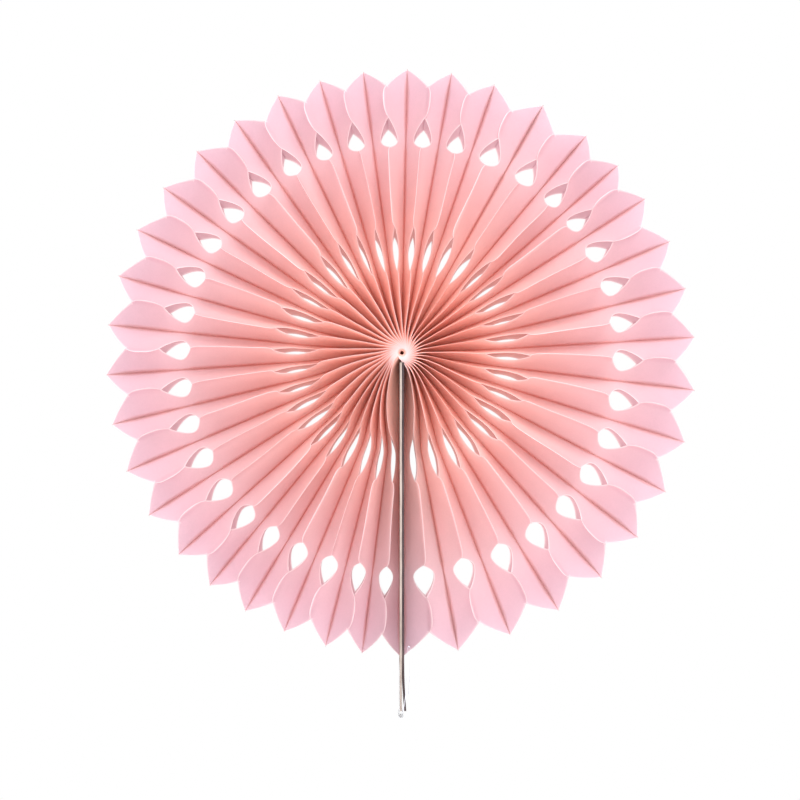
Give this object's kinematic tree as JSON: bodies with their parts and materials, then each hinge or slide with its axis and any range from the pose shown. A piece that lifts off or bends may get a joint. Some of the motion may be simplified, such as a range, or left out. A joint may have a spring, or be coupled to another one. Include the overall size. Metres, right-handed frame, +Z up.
{
  "type": "paper fan rosette",
  "caption": "Round honeycomb paper fan opened to a full circle, with die-cut slots, teardrop holes and pointed petals, closed at a pair of end cards.",
  "frame": {"origin": "centre of the hub, halfway between the front and the back of the sheets", "axes": "+Z up in the plane of the disc, -Y out of the front of the fan, +X to the right seen from the front; the two end cards point along -Z"},
  "size_m": [0.2994, 0.037, 0.3275],
  "materials": {
    "paper": "matte coloured tissue-weight paper, slightly translucent",
    "greyboard": "raw greyboard strip",
    "adhesive": "double-sided tape seen on edge",
    "clear_tape": "clear adhesive tape",
    "liner": "siliconised release paper"
  },
  "bodies": {
    "root": {"petal_01": "paper", "petal_02": "paper", "petal_03": "paper", "petal_04": "paper", "petal_05": "paper", "petal_06": "paper", "petal_07": "paper", "petal_08": "paper", "petal_09": "paper", "petal_10": "paper", "petal_11": "paper", "petal_12": "paper", "petal_13": "paper", "petal_14": "paper", "petal_15": "paper", "petal_16": "paper", "petal_17": "paper", "petal_18": "paper", "petal_19": "paper", "petal_20": "paper", "petal_21": "paper", "petal_22": "paper", "petal_23": "paper", "petal_24": "paper", "petal_25": "paper", "petal_26": "paper", "petal_27": "paper", "petal_28": "paper", "petal_29": "paper", "petal_30": "paper", "petal_31": "paper", "petal_32": "paper", "petal_33": "paper", "petal_34": "paper", "petal_35": "paper", "petal_36": "paper", "petal_37": "paper", "end_sheet_left": "paper", "end_sheet_right": "paper", "card_left": "greyboard", "card_right": "greyboard", "card_adhesive": "adhesive", "end_tape": "clear_tape", "release_liner": "liner"}
  },
  "joints": []
}
